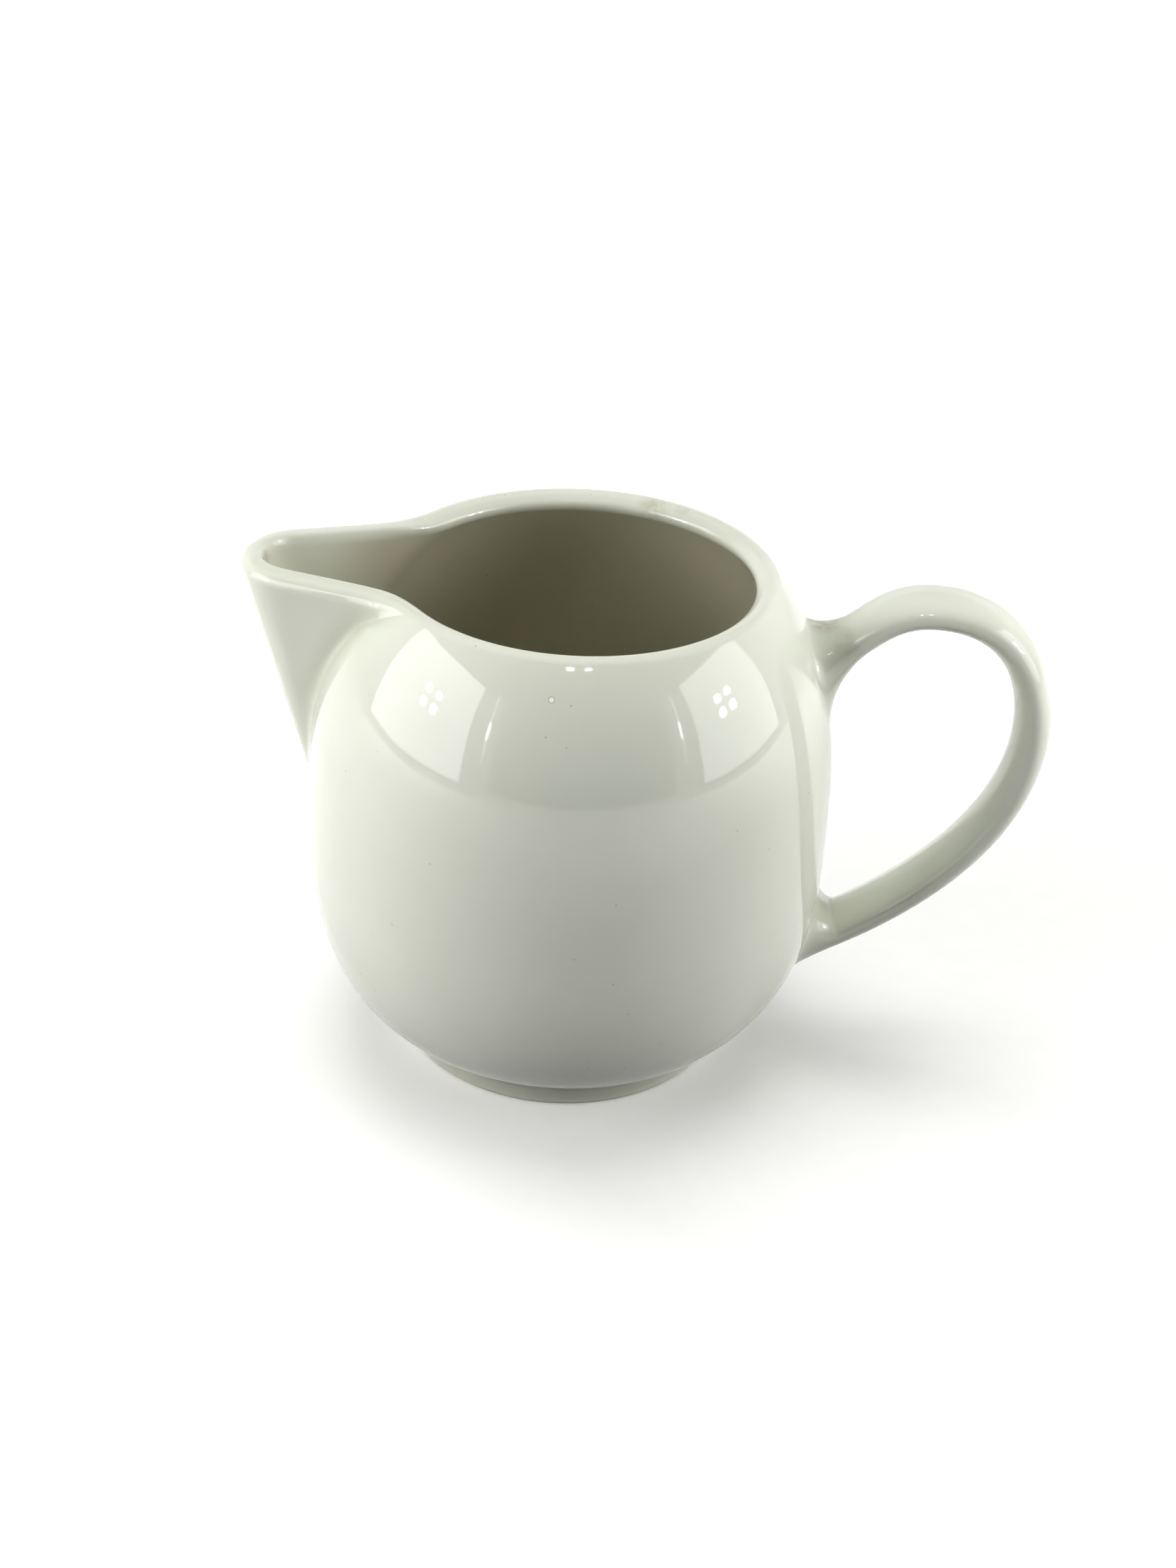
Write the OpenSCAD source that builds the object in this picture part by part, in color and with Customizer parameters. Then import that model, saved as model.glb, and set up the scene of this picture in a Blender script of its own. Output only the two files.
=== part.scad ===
// Small ceramic pitcher: a full-bellied cream jug with a beak spout and a strap handle.
// +Z is up, the origin is the centre of the foot's resting plane, the spout points to -X
// and the handle to +X. All sizes are in millimetres.

/* [Vessel] */
// Outside diameter of the belly at its widest
belly_d = 90; // [72:0.5:110]
// Height of the widest part of the belly above the table
belly_z = 41.6; // [36:0.2:48]
// Height of the rim above the table
height = 89.2; // [74:0.2:108]
// Inside diameter of the mouth
mouth_d = 58.9; // [46:0.1:68]
// Thickness of the fired wall
wall = 4.2; // [3:0.1:5.4]
// Squareness of the shoulder between the belly and the rim, where 2 is an ellipse
shoulder_fullness = 2.68; // [2.2:0.02:3.2]
// Squareness of the curve between the belly and the foot, where 2 is an ellipse
base_fullness = 2.79; // [2.3:0.01:3.3]

/* [Foot] */
// Outside diameter of the foot ring
foot_d = 57.6; // [46:0.2:66]
// Height at which the belly runs into the outside of the foot ring
foot_height = 4; // [3:0.1:6]
// Width of the face that the foot ring stands on
foot_face = 3.4; // [2:0.1:6]
// Height of the hollow under the vessel, inside the foot ring
foot_recess = 2; // [1:0.1:2.8]
// Radius of the two edges of the standing face
foot_edge_r = 0.6; // [0.2:0.1:0.9]

/* [Spout] */
// Distance that the tip of the lip stands out past the belly
spout_reach = 11; // [8:0.2:18]
// Radius of the lip's rounded tip, at the middle of its wall
spout_tip_r = 8.4; // [6:0.1:11]
// Angle between each flank of the spout and its centre line
spout_flank = 17.5; // [10:0.5:26]
// Depth of the spout, from the rim down to the point where it fades into the belly
spout_depth = 41; // [30:0.5:46]
// Distance that the spout stands proud of the belly at its lowest point
spout_root_proud = 0.6; // [0.5:0.1:2]
// Radius of the pouring channel at its lowest point
channel_root_r = 0.8; // [0.5:0.1:2]

/* [Handle] */
// Distance that the handle stands out past the belly
handle_reach = 35.6; // [30:0.2:44]
// Width of the strap, across the jug
handle_w = 11.8; // [9:0.2:16]
// Thickness of the strap
handle_t = 6.2; // [4.6:0.1:8]
// Drop from the rim to the highest point of the handle
handle_drop = 0.3; // [0.1:0.1:6]
// Drop from the rim to where the strap's centre line enters the shoulder
upper_root_drop = 14.7; // [13:0.1:18]
// Height at which the strap's centre line enters the lower belly
lower_root_z = 19; // [17:0.2:22]

/* [Slip joints] */
// Thickness of the slip between two luted pieces
slip_gap = 0.5; // [0.3:0.1:0.8]
// Distance that the slip stands out of the seam round the spout
spout_bead = 1.3; // [0.9:0.1:2]
// Spread of the slip pad under the handle's upper end, above and below its centre
upper_pad = 9.8; // [8.5:0.1:11]
// Spread of the slip pad under the handle's lower end, above and below its centre
lower_pad = 9; // [8.5:0.1:10]
// Distance that each pad stands out past the two sides of the strap
pad_side = 2.2; // [1:0.1:3]

/* [Hidden] */

glaze = "#e9ebe1";      // white glaze
biscuit = "#d8cfbd";    // bare fired clay
slip = "#dfe0d3";       // glazed slip, a shade darker

curve_steps = 18;       // pieces in each half of the wall's curve
rim_steps = 12;         // pieces in the rim's half round
round_fn = 96;

belly_r = belly_d / 2;
half_wall = wall / 2;
mid_belly_r = belly_r - half_wall;            // middle of the wall
mid_mouth_r = mouth_d / 2 + half_wall;
rim_z = height - half_wall;                   // centre of the rim's half round
upper_rise = (rim_z - belly_z)
    / pow(1 - pow(mid_mouth_r / mid_belly_r, shoulder_fullness), 1 / shoulder_fullness);
lower_fall = (belly_z - foot_height)
    / pow(1 - pow(foot_d / 2 / belly_r, base_fullness), 1 / base_fullness);
floor_z = foot_recess + wall;                 // inside floor
rim_turn = asin(pow((rim_z - belly_z) / upper_rise, shoulder_fullness / 2));
base_turn = asin(pow((belly_z - foot_recess) / lower_fall, base_fullness / 2));

function lerp(a, b, t) = a + (b - a) * t;
function unit(v) = v / norm(v);

// A quarter superellipse of half axes a and b, its point and outward normal at a turn
function quarter(a, b, n, turn) = [a * pow(cos(turn), 2 / n), b * pow(sin(turn), 2 / n)];
function quarter_normal(a, b, n, p) = unit([pow(p[0] / a, n - 1) / a, pow(p[1] / b, n - 1) / b]);

// Points on the shoulder and on the lower belly, a depth below the outside surface
function shoulder_point(turn, depth) =
    let (p = quarter(mid_belly_r, upper_rise, shoulder_fullness, turn),
         n = quarter_normal(mid_belly_r, upper_rise, shoulder_fullness, p))
    [0, belly_z] + p + (half_wall - depth) * n;
function base_point(turn, depth) =
    let (p = quarter(belly_r, lower_fall, base_fullness, turn),
         n = quarter_normal(belly_r, lower_fall, base_fullness, p),
         q = p - depth * n)
    [q[0], belly_z - q[1]];
function skin(depth) = concat(
    [for (i = [curve_steps:-1:1]) base_point(base_turn * i / curve_steps, depth)],
    [for (i = [0:curve_steps]) shoulder_point(rim_turn * i / curve_steps, depth)]);

// The rim's half round, from the outside over the top to the inside
rim_normal = let (p = quarter(mid_belly_r, upper_rise, shoulder_fullness, rim_turn),
                  n = quarter_normal(mid_belly_r, upper_rise, shoulder_fullness, p))
    atan2(n[1], n[0]);
function rim_arc(sweep, grow) = [for (i = [1:rim_steps - 1])
    let (a = rim_normal + sweep * i / rim_steps)
    [mid_mouth_r, rim_z] + (half_wall + grow) * [cos(a), sin(a)]];
function reversed(list) = [for (i = [len(list) - 1:-1:0]) list[i]];

// Approximate outside radius of the vessel at a height on the shoulder
function shoulder_r(z) = half_wall + mid_belly_r
    * pow(1 - pow((z - belly_z) / upper_rise, shoulder_fullness), 1 / shoulder_fullness);
function base_r(z) = belly_r * pow(1 - pow((belly_z - z) / lower_fall, base_fullness), 1 / base_fullness);

// Closed solid through rings of equal length, capped at both ends
module loft(rings) {
    n = len(rings[0]);
    last = (len(rings) - 1) * n;
    polyhedron(
        points = [for (ring = rings) each ring],
        faces = concat(
            [[for (i = [0:n - 1]) i]],
            [for (j = [0:n:last - 1]) for (i = [0:n - 1]) [j + i, j + n + i, j + n + (i + 1) % n]],
            [for (j = [0:n:last - 1]) for (i = [0:n - 1]) [j + i, j + n + (i + 1) % n, j + (i + 1) % n]],
            [[for (i = [n - 1:-1:0]) last + i]]));
}

// ---- Vessel ----

// Everything inside the outside surface, grown outwards: what luted pieces are trimmed against
module vessel_envelope(grow) {
    rotate_extrude($fn = round_fn)
        polygon(concat([[0, foot_recess - grow]], skin(-grow), rim_arc(90 - rim_normal, grow),
                       [[mid_mouth_r, height + grow], [0, height + grow]]));
}

module vessel_shell() {
    inside = [for (p = reversed(skin(wall))) if (p[1] > floor_z) p];
    rotate_extrude($fn = round_fn)
        polygon(concat([[0, foot_recess]], skin(0), rim_arc(180, 0), inside, [[0, floor_z]]));
}

// ---- Spout ----

spout_root_z = height - spout_depth;
spout_tip_x = belly_r + spout_reach - half_wall - spout_tip_r;      // centre of the tip's arc
spout_root_x = belly_r + spout_root_proud - half_wall;
channel_root_z = spout_root_z + wall / 2;
channel_root_x = belly_r - wall - channel_root_r + slip_gap;
flank_end_x = mouth_d / 4;                                          // inside the mouth
tip_steps = 14;        // pieces in the tip's arc
cone_steps = 6;        // rings up the cone, below the lip
lip_turns = [15:15:75];                 // steps of the lip's rounding, level with the jug's rim
lip_end = 80;          // turn at which that rounding is closed off
lip_flat = 0.02;       // depth of its closing flat below the rim's top

// Plan outline of the spout at one height: a round tip and two flanks that open towards the jug
function spout_outline(z, x, r) =
    let (corner = [x + r * sin(spout_flank), r * cos(spout_flank)],
         end_y = corner[1] + (corner[0] - flank_end_x) * tan(spout_flank))
    concat([[-flank_end_x, end_y, z]],
           [for (i = [0:tip_steps])
               let (a = 90 - spout_flank - (180 - 2 * spout_flank) * i / tip_steps)
               [-(x + r * cos(a)), r * sin(a), z]],
           [[-flank_end_x, -end_y, z]]);

// One ring of a cone-like spout, where grow is measured from the middle of its wall
function beak_ring(z, grow) =
    let (s = (z - spout_root_z) / (rim_z - spout_root_z))
    spout_outline(z, lerp(spout_root_x, spout_tip_x, s), spout_tip_r * s + grow);
function channel_ring(z, grow) =
    let (s = (z - channel_root_z) / (rim_z - channel_root_z))
    spout_outline(z, lerp(channel_root_x, spout_tip_x, s),
                  lerp(channel_root_r, spout_tip_r - half_wall, s) + grow);

module beak_solid(grow) {
    loft(concat(
        [for (i = [0:cone_steps])
            beak_ring(lerp(spout_root_z, rim_z, i / cone_steps), half_wall + grow)],
        [for (a = lip_turns) beak_ring(rim_z + half_wall * sin(a), half_wall * cos(a) + grow)],
        [beak_ring(height - lip_flat, half_wall * cos(lip_end) + grow)]));
}

module channel() {
    loft(concat(
        [for (i = [0:cone_steps])
            channel_ring(lerp(channel_root_z, rim_z, i / cone_steps), 0)],
        [for (a = lip_turns) channel_ring(rim_z + half_wall * sin(a), half_wall * (1 - cos(a)))],
        [channel_ring(height, half_wall * (1 - cos(lip_end))), channel_ring(height + wall, half_wall)]));
}

module spout_solid() {
    difference() {
        beak_solid(0);
        vessel_envelope(slip_gap);
        channel();
    }
}

// ---- Handle ----

strap_sides = 28;
strap_steps = 16;      // rings in each of the three stretches
strap_a = handle_w / 2;
strap_b = handle_t / 2;
root_bury = 6;         // how far the strap's line runs on inside the vessel before it is trimmed
root_inset = 3;        // how far inside the shoulder its upper end starts
crest_out = 13.6;      // reach of the highest point past the belly
bulge_drop = 22;       // drop from the highest point to the furthest one
upper_rake = 18.3;     // angle at which the strap leaves the shoulder, above level
lower_rake = 25.8;     // angle at which it meets the lower belly

// Pull of each curve's handles: how far the line runs nearly straight from each of its ends
shoulder_pull = 9.1;
crest_pulls = [9.9, 13];
bulge_pulls = [11.8, 21];
belly_pull = 17.7;

upper_root_z = height - upper_root_drop;
crest = [belly_r + crest_out, height - handle_drop - strap_b];
bulge = [belly_r + handle_reach - strap_b, crest[1] - bulge_drop];
upper_root = [shoulder_r(upper_root_z) - root_inset, upper_root_z];
lower_root = [base_r(lower_root_z), lower_root_z];
upper_dir = [cos(upper_rake), sin(upper_rake)];
lower_dir = [cos(lower_rake), sin(lower_rake)];

// The strap's centre line: up from the shoulder to the crest, round the bulge, down to the belly
strap_curves = [
    [upper_root, upper_root + shoulder_pull * upper_dir, crest - [crest_pulls[0], 0], crest],
    [crest, crest + [crest_pulls[1], 0], bulge + [0, bulge_pulls[0]], bulge],
    [bulge, bulge - [0, bulge_pulls[1]], lower_root + belly_pull * lower_dir, lower_root]];

function bezier(c, t) = pow(1 - t, 3) * c[0] + 3 * pow(1 - t, 2) * t * c[1]
    + 3 * (1 - t) * t * t * c[2] + t * t * t * c[3];
function bezier_dir(c, t) = unit(pow(1 - t, 2) * (c[1] - c[0]) + 2 * (1 - t) * t * (c[2] - c[1])
    + t * t * (c[3] - c[2]));

// An elliptical ring across the jug, facing along dir in the XZ plane
function strap_ring(c, dir, a, b) = [for (i = [0:strap_sides - 1])
    let (t = 360 * i / strap_sides)
    [c[0] - dir[1] * b * sin(t), a * cos(t), c[1] + dir[0] * b * sin(t)]];

module strap_solid() {
    loft(concat(
        [strap_ring(upper_root - root_bury / 2 * upper_dir, upper_dir, strap_a, strap_b)],
        [for (c = strap_curves) for (i = [0:strap_steps - 1])
            strap_ring(bezier(c, i / strap_steps), bezier_dir(c, i / strap_steps), strap_a, strap_b)],
        [strap_ring(lower_root, -lower_dir, strap_a, strap_b),
         strap_ring(lower_root - root_bury * lower_dir, -lower_dir, strap_a, strap_b)]));
}

module handle_solid() {
    difference() {
        strap_solid();
        vessel_envelope(slip_gap);
    }
}

pad_steps = 8;
pad_lip = 0.25;        // thickness of the pad's edge where it ends on the strap
pad_flare = 2.2;       // how sharply the pad's sides turn outwards near the vessel
upper_met = 0.55;      // where each pad ends along its stretch of the strap's line
lower_met = 0.83;
upper_pad_drop = 0.5;  // shift of each oval's centre from the end of the strap's line
lower_pad_bury = 4;
lower_pad_lift = 1.5;

// A pad of slip that flares from the strap's own section out to a broad oval on the vessel.
// start is the oval's centre inside the wall, the strap's line is met at end, facing end_dir.
module slip_pad(start, spread, end, end_dir) {
    turn = atan2(end_dir[1], end_dir[0]);
    via = [lerp(start[0], end[0], 0.5), lerp(start[1], end[1] - tan(turn) * (end[0] - start[0]) / 2, 0.5)];
    loft([for (i = [0:pad_steps])
        let (u = i / pad_steps,
             flare = pow(1 - u, pad_flare),
             c = pow(1 - u, 2) * start + 2 * (1 - u) * u * via + u * u * end,
             a = turn * u)
        strap_ring(c, [cos(a), sin(a)], strap_a + pad_lip + (pad_side - pad_lip) * flare,
                   strap_b + pad_lip + (spread - strap_b - pad_lip) * flare)]);
}

module trimmed_pad() {
    difference() {
        children();
        vessel_envelope(0);
        handle_solid();
    }
}

// ---- Nodes ----

module body() {
    color(glaze) difference() {
        vessel_shell();
        channel();
    }
}

module foot_ring() {
    outer = foot_d / 2;
    inner = outer - foot_face;
    turns = [0:30:90];
    color(biscuit) difference() {
        rotate_extrude($fn = round_fn)
            polygon(concat(
                [for (a = turns) [inner + foot_edge_r * (1 - sin(a)), foot_edge_r * (1 - cos(a))]],
                [[inner, foot_height], [outer, foot_height]],
                [for (a = turns) [outer - foot_edge_r * (1 - cos(a)), foot_edge_r * (1 - sin(a))]]));
        vessel_envelope(0);
    }
}

module spout() {
    color(glaze) spout_solid();
}

module spout_slip_joint() {
    color(slip) difference() {
        intersection() {
            beak_solid(spout_bead);
            vessel_envelope(spout_bead);
            translate([-2 * belly_r, -belly_r, 0]) cube([2 * belly_r, belly_d, rim_z]);
        }
        vessel_envelope(0);
        channel();
        spout_solid();
    }
}

module handle() {
    color(glaze) handle_solid();
}

module upper_handle_slip_joint() {
    color(slip) trimmed_pad()
        slip_pad(upper_root - [0, upper_pad_drop], upper_pad,
                 bezier(strap_curves[0], upper_met), bezier_dir(strap_curves[0], upper_met));
}

module lower_handle_slip_joint() {
    color(slip) trimmed_pad()
        slip_pad(lower_root + [-lower_pad_bury, lower_pad_lift], lower_pad,
                 bezier(strap_curves[2], lower_met), -bezier_dir(strap_curves[2], lower_met));
}

body();
foot_ring();
spout();
spout_slip_joint();
handle();
upper_handle_slip_joint();
lower_handle_slip_joint();
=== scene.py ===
import math

import bpy
import numpy as np
from mathutils import Matrix, Vector


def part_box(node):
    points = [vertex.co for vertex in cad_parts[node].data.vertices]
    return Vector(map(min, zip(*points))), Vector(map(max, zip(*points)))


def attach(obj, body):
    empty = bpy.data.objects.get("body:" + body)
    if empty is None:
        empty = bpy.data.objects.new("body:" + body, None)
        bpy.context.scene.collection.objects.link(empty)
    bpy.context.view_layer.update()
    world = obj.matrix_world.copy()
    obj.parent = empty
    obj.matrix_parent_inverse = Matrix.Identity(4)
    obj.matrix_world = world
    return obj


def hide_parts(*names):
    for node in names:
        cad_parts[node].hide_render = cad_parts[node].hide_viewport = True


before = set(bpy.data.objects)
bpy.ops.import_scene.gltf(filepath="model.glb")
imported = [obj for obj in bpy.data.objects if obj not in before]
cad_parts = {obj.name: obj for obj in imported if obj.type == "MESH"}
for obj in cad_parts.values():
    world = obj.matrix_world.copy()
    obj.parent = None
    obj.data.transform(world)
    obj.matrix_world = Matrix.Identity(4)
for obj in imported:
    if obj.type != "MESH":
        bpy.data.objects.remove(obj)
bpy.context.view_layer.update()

mm = 0.001  # the shapes are worked out in millimetres, with +Z up and the spout towards -X
print("frame loaded:", ", ".join(sorted(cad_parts)))


def boxInMm(node):
    low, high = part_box(node)
    return np.array(low) / mm, np.array(high) / mm


# ---- small helpers ----


def lerp(a, b, t):
    return a + (b - a) * t


def smooth(t):
    t = np.clip(t, 0, 1)
    return t * t * (3 - 2 * t)


def unit(v):
    return v / np.maximum(np.linalg.norm(v, axis=-1, keepdims=True), 1e-9)


# Thrown and cast walls are never quite true: a slow swell, always inwards, with its slope
swellWaves = [
    ((0.071, 0.043, 0.052), 0.3, 0.017),
    ((-0.052, 0.088, 0.031), 1.9, 0.013),
    ((0.024, -0.061, 0.117), 4.1, 0.011),
    ((0.160, 0.094, -0.071), 2.6, 0.004),
    ((-0.110, 0.172, 0.128), 5.2, 0.003),
]
swellDepth = sum(wave[2] for wave in swellWaves) + 0.012


def withSwell(points, normals):
    height = np.zeros(len(points))
    slope = np.zeros_like(points)
    for direction, phase, size in swellWaves:
        turn = points @ np.array(direction) + phase
        height += size * np.sin(turn)
        slope += size * np.cos(turn)[:, None] * np.array(direction)
    alongWall = slope - np.sum(slope * normals, axis=1, keepdims=True) * normals
    return points + (height - swellDepth)[:, None] * normals, unit(normals - alongWall)


# Builds one closed piece. A smooth face takes its corners' own normals, so that neighbouring pieces
# shade as one surface; a cut face, hidden inside a joint, is flat and turned to face its hint.
def makePiece(name, points, normals, smoothFaces, cutFaces, values):
    points = np.asarray(points, float)
    normals = unit(np.asarray(normals, float))
    faces = []
    for face in smoothFaces:
        corners = points[list(face)]
        turned = np.cross(corners[2] - corners[0], corners[-1] - corners[1])
        faces.append(tuple(face) if turned @ normals[list(face)].sum(axis=0) > 0 else tuple(face[::-1]))
    for face, hint in cutFaces:
        corners = points[list(face)]
        centre = corners.mean(axis=0)
        turned = sum(np.cross(corners[i - 1] - centre, corners[i] - centre) for i in range(len(face)))
        faces.append(tuple(face) if turned @ hint > 0 else tuple(face[::-1]))
    used = sorted({i for face in faces for i in face})
    place = {old: new for new, old in enumerate(used)}
    faces = [tuple(place[i] for i in face) for face in faces]
    points, normals = withSwell(points[used], normals[used])
    mesh = bpy.data.meshes.new(name)
    mesh.from_pydata((points * mm).tolist(), [], faces)
    mesh.validate()
    mesh.polygons.foreach_set("use_smooth", [i < len(smoothFaces) for i in range(len(mesh.polygons))])
    for key, amounts in values.items():
        layer = mesh.attributes.new(key, "FLOAT", "POINT")
        layer.data.foreach_set("value", np.asarray(amounts, float)[used])
    mesh.update()
    corner = np.zeros((len(mesh.loops), 3))
    for polygon in mesh.polygons:
        flat = polygon.index >= len(smoothFaces)
        for loop in polygon.loop_indices:
            corner[loop] = polygon.normal if flat else normals[mesh.loops[loop].vertex_index]
    mesh.normals_split_custom_set(corner.tolist())
    piece = bpy.data.objects.new(name, mesh)
    bpy.context.scene.collection.objects.link(piece)
    return piece


def standFor(piece, node, material):
    piece.data.materials.append(material)
    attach(piece, "root")
    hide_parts(node)
    print(piece.name, "made,", len(piece.data.polygons), "faces")


# ---- the vessel's wall ----

_, bodyHigh = boxInMm("body")
_, footHigh = boxInMm("foot_ring")
spoutLow, _ = boxInMm("spout")
_, handleHigh = boxInMm("handle")

vessel = {
    "radius": bodyHigh[0],
    "bellyZ": 41.6,
    "top": bodyHigh[2],
    "halfWall": 2.1,
    "mouthRadius": 29.45,
    "shoulder": 2.68,  # squareness of the curve above the belly
    "base": 2.79,  # and below it
    "footTop": 4.0,
    "hollow": 2.0,  # height of the underside above the table
}
halfWall = vessel["halfWall"]
bellyZ = vessel["bellyZ"]
rimZ = vessel["top"] - halfWall
midRadius = vessel["radius"] - halfWall
midMouth = vessel["mouthRadius"] + halfWall


# Half height of the squared-off oval that is one radius wide at the belly and narrows to the share at a drop
def halfHeight(drop, share, squareness):
    return drop / (1 - share**squareness) ** (1 / squareness)


rise = halfHeight(rimZ - bellyZ, midMouth / midRadius, vessel["shoulder"])
fall = halfHeight(bellyZ - vessel["footTop"], footHigh[0] / vessel["radius"], vessel["base"])
floorZ = vessel["hollow"] + 2 * halfWall

beak = {
    "rootZ": 48.2,
    "rootX": 43.5,  # centre of the tip's arc at the root and at the rim
    "tipRadius": 8.4,
    "flank": math.radians(17.5),
    "rimCrease": 4.7,  # softness of the crease where the spout leaves the wall
    "neckCrease": 1.5,
    "rootCrease": 2.5,
    "insideCrease": 9.0,
    "rimFade": (83.0, 4.0),  # height where the rim's softness starts and how far up it takes to come in
    "rootFade": (80.0, 25.0),  # the same for the root's, going down
    "keel": 1.2,  # how far the spout's foot is rounded off, and the heights that it fades over
    "keelFade": (62.0, 12.0),
    "reachX": -12.0,  # the spout's shape counts only on its own side of this plane
}
beak["tipX"] = -spoutLow[0] - halfWall - beak["tipRadius"]


# Distance from the middle of the plain wall, above the belly
def wallDistance(r, z):
    n = vessel["shoulder"]
    u = np.maximum(r, 1e-3) / midRadius
    w = np.maximum(z - bellyZ, 1e-6) / rise
    g = (u**n + w**n) ** (1 / n)
    return (g - 1) / (g ** (1 - n) * np.hypot(u ** (n - 1) / midRadius, w ** (n - 1) / rise))


# Distance from the middle of the spout's wall: a round tip with two flanks that open towards the jug
def beakDistance(x, y, z):
    s = (z - beak["rootZ"]) / (rimZ - beak["rootZ"])
    u = -x - lerp(beak["rootX"], beak["tipX"], s)
    keel = beak["keel"] * smooth((beak["keelFade"][0] - z) / beak["keelFade"][1])
    v = np.sqrt(y * y + keel * keel)
    sine, cosine = math.sin(beak["flank"]), math.cos(beak["flank"])
    plan = np.where(v * sine - u * cosine > 0, u * sine + v * cosine, np.hypot(u, v))
    return np.where(x > beak["reachX"], 99.0, plan - beak["tipRadius"] * s)


def creaseSoftness(z, depth):
    nearRim = smooth((z - beak["rimFade"][0]) / beak["rimFade"][1])
    nearRoot = smooth((beak["rootFade"][0] - z) / beak["rootFade"][1])
    outside = (beak["neckCrease"] + (beak["rimCrease"] - beak["neckCrease"]) * nearRim
               + beak["rootCrease"] * nearRoot)
    return lerp(outside, beak["insideCrease"], float(depth < 0))


# Distance from the middle of the wall with the spout let into it
def jugDistance(x, y, z, depth):
    a = wallDistance(np.hypot(x, y), z)
    b = beakDistance(x, y, z)
    k = creaseSoftness(z, depth)
    near = np.maximum(k - np.abs(a - b), 0) / k
    return np.minimum(a, b) - near**3 * k / 6


# Radius at which a ray from the axis meets the surface that lies `depth` outside the middle of the wall
def surfaceRadius(theta, z, depth):
    low, high = np.full(np.shape(z), 18.0), np.full(np.shape(z), 62.0)
    for _ in range(36):
        middle = (low + high) / 2
        inside = jugDistance(-middle * np.cos(theta), middle * np.sin(theta), z, depth) < depth
        low, high = np.where(inside, middle, low), np.where(inside, high, middle)
    return (low + high) / 2


def jugNormal(points, depth):
    x, y, z = points[..., 0], points[..., 1], points[..., 2]
    h = 0.03
    slope = [
        jugDistance(x + h, y, z, depth) - jugDistance(x - h, y, z, depth),
        jugDistance(x, y + h, z, depth) - jugDistance(x, y - h, z, depth),
        jugDistance(x, y, z + h, depth) - jugDistance(x, y, z - h, depth),
    ]
    return unit(np.stack(slope, axis=-1))


def polar(theta, r, z):
    return np.stack([-r * np.cos(theta), r * np.sin(theta), z], axis=-1)


# Angle from the spout's centre line at which its flank meets the wall, for a list of heights
def creaseAngle(z):
    sweep = np.radians(np.linspace(0, 50, 501))
    found = []
    for level in np.atleast_1d(z):
        r = surfaceRadius(np.array([math.pi / 2]), np.array([level]), halfWall)[0]
        clear = beakDistance(-r * np.cos(sweep), r * np.sin(sweep), level) > halfWall
        found.append(sweep[np.argmax(clear)])
    return np.hypot(found, math.radians(5))


gridPlan = {
    "spoutColumns": 26,
    "slipColumns": 3,
    "wallColumns": 84,  # on each side of the spout's centre line
    "upperRows": 66,
    "lowerRows": 46,
    "discRows": 7,
    "rimRows": 16,
    "rimSquare": 3.4,
    "rimEvening": 6,
    "tiltedRows": 40,  # rows below these are level enough to share their angles
    "slipBand": 1.7,  # half width of the slip's band in degrees
    "slipFoot": 45.4,  # lowest height of the slip under the spout's root
    "spoutFoot": 49.4,
}

levels = np.linspace(bellyZ, vessel["top"], 60)
creaseAt = creaseAngle(levels)
creaseAt = np.convolve(np.pad(creaseAt, 3, mode="edge"), np.ones(7) / 7, mode="valid")


# Angles of all columns at a height, from the spout round to the handle and back
def columnAngles(z):
    crease = np.interp(z, levels, creaseAt)
    band = math.radians(gridPlan["slipBand"])
    first = [lerp(0, crease - band, i / gridPlan["spoutColumns"]) for i in range(gridPlan["spoutColumns"])]
    second = [crease - band + 2 * band * i / gridPlan["slipColumns"] for i in range(gridPlan["slipColumns"])]
    third = []
    for i in range(gridPlan["wallColumns"] + 1):
        t = i / gridPlan["wallColumns"]
        third.append(lerp(crease + band, math.pi, t * (0.62 + 0.38 * t)))
    half = first + second + third
    return half, [-a for a in half[-2:0:-1]]


def columnGrid(z):
    half, other = columnAngles(z)
    return np.array(half + other)


# The angle of each column at a height of its own, for rows that are not level
def ownColumns(z):
    return np.array([columnGrid(height)[j] for j, height in enumerate(z)])


halfCount = gridPlan["spoutColumns"] + gridPlan["slipColumns"] + gridPlan["wallColumns"]
columns = 2 * halfCount
spoutEdge = gridPlan["spoutColumns"]
slipEdge = spoutEdge + gridPlan["slipColumns"]

# The rim: a half round swept along the middle of the wall's top edge
rimAngles = columnGrid(rimZ)
rimLine = polar(rimAngles, surfaceRadius(rimAngles, np.full(columns, rimZ), 0.0), np.full(columns, rimZ))
rimNormal = jugNormal(rimLine, 0.0)
rimAlong = unit(np.roll(rimLine, -1, axis=0) - np.roll(rimLine, 1, axis=0))
rimUp = unit(np.cross(rimNormal, rimAlong))
rimUp = np.where(rimUp[:, 2:] < 0, -rimUp, rimUp)


# Where the rim's half round meets the wall: the angles and the points. Offsets bunch up in the crease,
# so they are evened out along the rim and set back on to the wall's surface.
def rimEdge(side):
    edge = rimLine + side * halfWall * rimNormal
    drift = (np.arctan2(edge[:, 1], -edge[:, 0]) - rimAngles + math.pi) % (2 * math.pi) - math.pi
    z = edge[:, 2]
    for _ in range(gridPlan["rimEvening"]):
        drift = (np.roll(drift, 1) + 2 * drift + np.roll(drift, -1)) / 4
        z = (np.roll(z, 1) + 2 * z + np.roll(z, -1)) / 4
    angles = rimAngles + drift
    return angles - ownColumns(z), polar(angles, surfaceRadius(angles, z, side * halfWall), z)


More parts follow.
